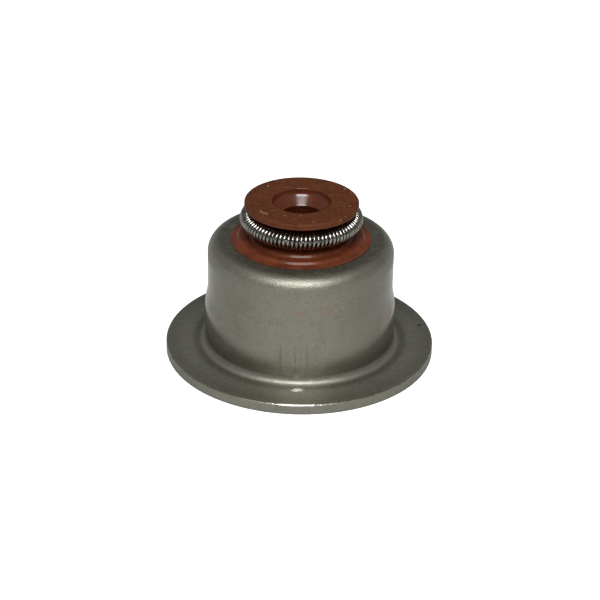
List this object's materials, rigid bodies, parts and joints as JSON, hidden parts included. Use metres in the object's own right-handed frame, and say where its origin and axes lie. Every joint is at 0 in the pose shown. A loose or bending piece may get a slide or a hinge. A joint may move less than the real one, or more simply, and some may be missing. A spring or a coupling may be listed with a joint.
{
  "type": "valve stem seal",
  "caption": "Valve stem seal: a flanged steel shell with a rubber lining, and a rubber lip on its top held closed by a garter spring.",
  "frame": {"origin": "centre of the flange's underside, on the valve stem's axis", "axes": "+Z along the valve stem, from the flange up to the sealing head"},
  "size_m": [0.0348, 0.0348, 0.021],
  "materials": {
    "shell_steel": "satin phosphated sheet steel",
    "brown_rubber": "moulded, matt to satin",
    "spring_wire": "bright drawn wire"
  },
  "bodies": {
    "root": {"steel_shell": "shell_steel", "rubber_seal": "brown_rubber", "garter_spring": "spring_wire"}
  },
  "joints": []
}
